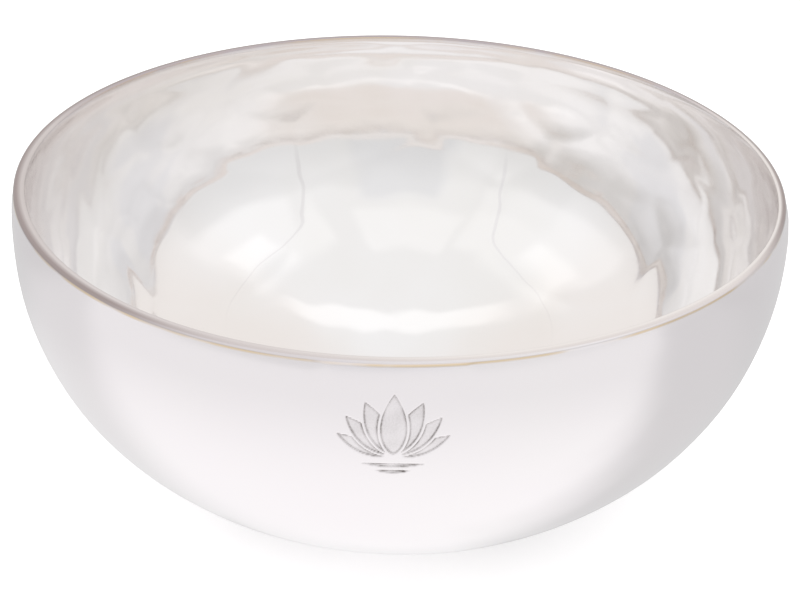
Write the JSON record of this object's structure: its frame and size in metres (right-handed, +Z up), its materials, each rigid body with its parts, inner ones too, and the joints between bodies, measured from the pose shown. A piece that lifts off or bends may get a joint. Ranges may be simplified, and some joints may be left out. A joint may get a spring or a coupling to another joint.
{
  "type": "singing bowl",
  "caption": "Deep round hammered metal singing bowl with a polished silver finish, a plain rounded lip, a dented inside and a small flattened foot to rest on.",
  "frame": {"origin": "middle of the flat foot, on the surface that the bowl stands on", "axes": "+Z up along the bowl's own axis, out of its mouth; -Y is the side with the engraved emblem; +X to the right when that side is faced"},
  "size_m": [0.3038, 0.3038, 0.136],
  "materials": {
    "silvered_bronze": "polished"
  },
  "bodies": {
    "root": {"bowl": "silvered_bronze"}
  },
  "joints": []
}
